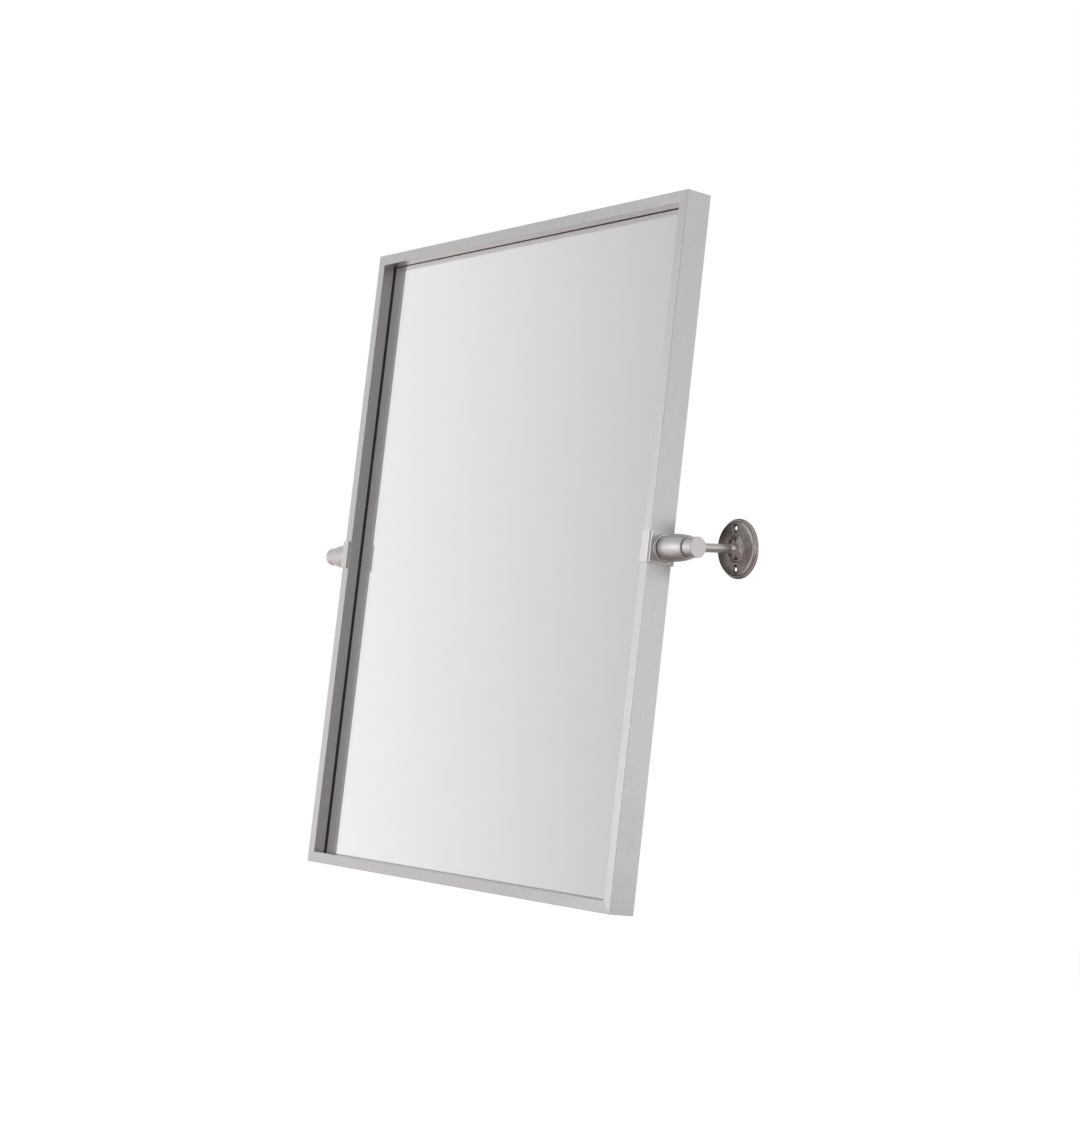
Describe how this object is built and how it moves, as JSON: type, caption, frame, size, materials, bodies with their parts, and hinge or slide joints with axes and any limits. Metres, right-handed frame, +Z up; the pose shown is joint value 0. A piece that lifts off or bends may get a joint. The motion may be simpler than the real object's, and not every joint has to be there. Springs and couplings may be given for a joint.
{
  "type": "pivot wall mirror",
  "caption": "Rectangular mirror in a mitred metal frame that tilts between round wall rosettes on turned pivots.",
  "frame": {"origin": "on the wall plane, midway between the two rosettes, at the height of the pivot line", "axes": "+X to the right as the user sees it, +Y into the wall, +Z up"},
  "size_m": [0.7738, 0.1248, 0.7601],
  "materials": {
    "turned_nickel": "satin brushed nickel, turned",
    "sheet_nickel": "satin brushed nickel on folded sheet",
    "rail_nickel": "satin brushed nickel finish, grain along the rail",
    "key_aluminium": "plain mill finish",
    "plain_steel": "plain zinc plated",
    "spring_steel": "blued spring strip",
    "black_nylon": "matte",
    "black_rubber": "matte",
    "black_board": "hardboard painted matte black",
    "clear_glass": "polished, seamed edges",
    "silver": "silver and paint film on the back of the pane"
  },
  "bodies": {
    "wall_mounts": {"left_flange": "turned_nickel", "right_flange": "turned_nickel", "left_post": "turned_nickel", "right_post": "turned_nickel", "post_screws": "plain_steel", "left_knuckle": "turned_nickel", "right_knuckle": "turned_nickel", "left_end_cap": "turned_nickel", "right_end_cap": "turned_nickel", "friction_washers": "black_nylon", "spring_washers": "plain_steel"},
    "mirror": {"pivot_bolts": "plain_steel", "left_barrel": "turned_nickel", "right_barrel": "turned_nickel", "base_washers": "black_nylon", "base_collars": "turned_nickel", "left_clip": "sheet_nickel", "right_clip": "sheet_nickel", "nut_plates": "plain_steel", "rail_left": "rail_nickel", "rail_right": "rail_nickel", "rail_top": "rail_nickel", "rail_bottom": "rail_nickel", "corner_key_top_left": "key_aluminium", "corner_key_top_right": "key_aluminium", "corner_key_bottom_left": "key_aluminium", "corner_key_bottom_right": "key_aluminium", "key_screws": "plain_steel", "mirror_glass": "clear_glass", "silver_coat": "silver", "backing_board": "black_board", "spring_clips": "spring_steel", "glass_pads": "black_rubber"}
  },
  "joints": [
    {"name": "mirror_tilt", "type": "hinge", "parent": "wall_mounts", "child": "mirror", "pos_m": [0, -0.06, 0], "axis": [1, 0, 0], "range_deg": [0, 14]}
  ]
}
